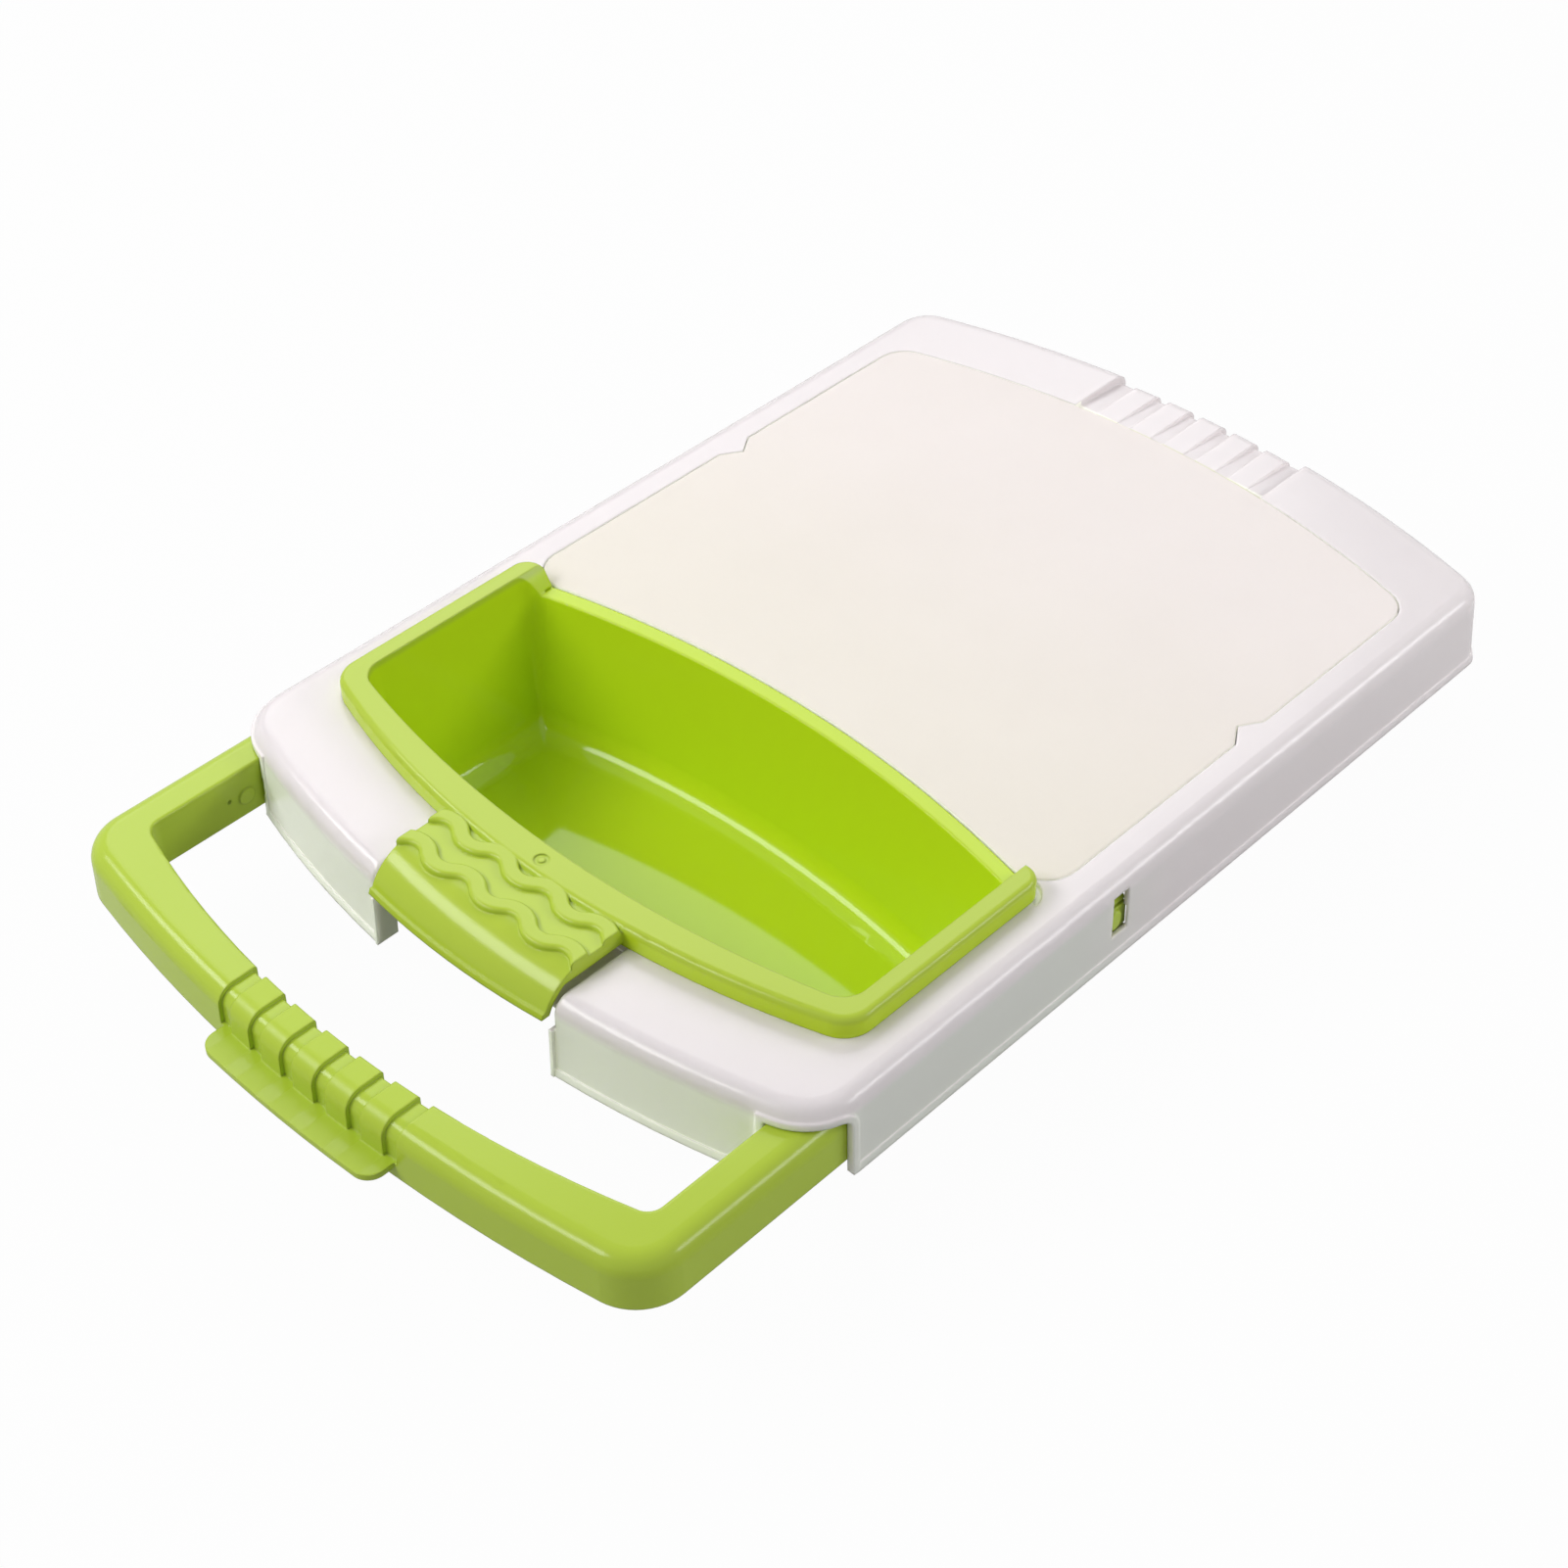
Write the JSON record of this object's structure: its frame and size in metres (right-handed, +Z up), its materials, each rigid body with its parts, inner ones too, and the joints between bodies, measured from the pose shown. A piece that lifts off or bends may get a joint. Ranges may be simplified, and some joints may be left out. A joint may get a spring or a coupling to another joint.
{
  "type": "over-sink cutting board",
  "caption": "Over-sink cutting board: white frame with a lift-out cutting plate, a green drop-in tray with a front tongue, and a sliding U-shaped handle.",
  "frame": {"origin": "middle of the rear skirt's underside, on the centre line, where the board rests on the sink's rim", "axes": "+X to the right seen from the handle, +Y to the rear away from the handle, +Z up out of the deck"},
  "size_m": [0.2572, 0.4403, 0.0632],
  "materials": {
    "frame_white": "semi-gloss",
    "plate_cream": "fine matt",
    "lime_green": "gloss"
  },
  "bodies": {
    "frame": {"board_frame": "frame_white"},
    "plate": {"cutting_plate": "plate_cream"},
    "tray": {"tray": "lime_green"},
    "handle": {"pull_out_handle": "lime_green"}
  },
  "joints": [
    {"name": "handle_slide", "type": "slide", "parent": "frame", "child": "handle", "axis": [0, 1, 0], "range_m": [0, 0.039]},
    {"name": "tray_lift", "type": "slide", "parent": "frame", "child": "tray", "axis": [0, 0, 1], "range_m": [0, 0.075]},
    {"name": "plate_lift", "type": "slide", "parent": "frame", "child": "plate", "axis": [0, 0, 1], "range_m": [0, 0.04]}
  ]
}
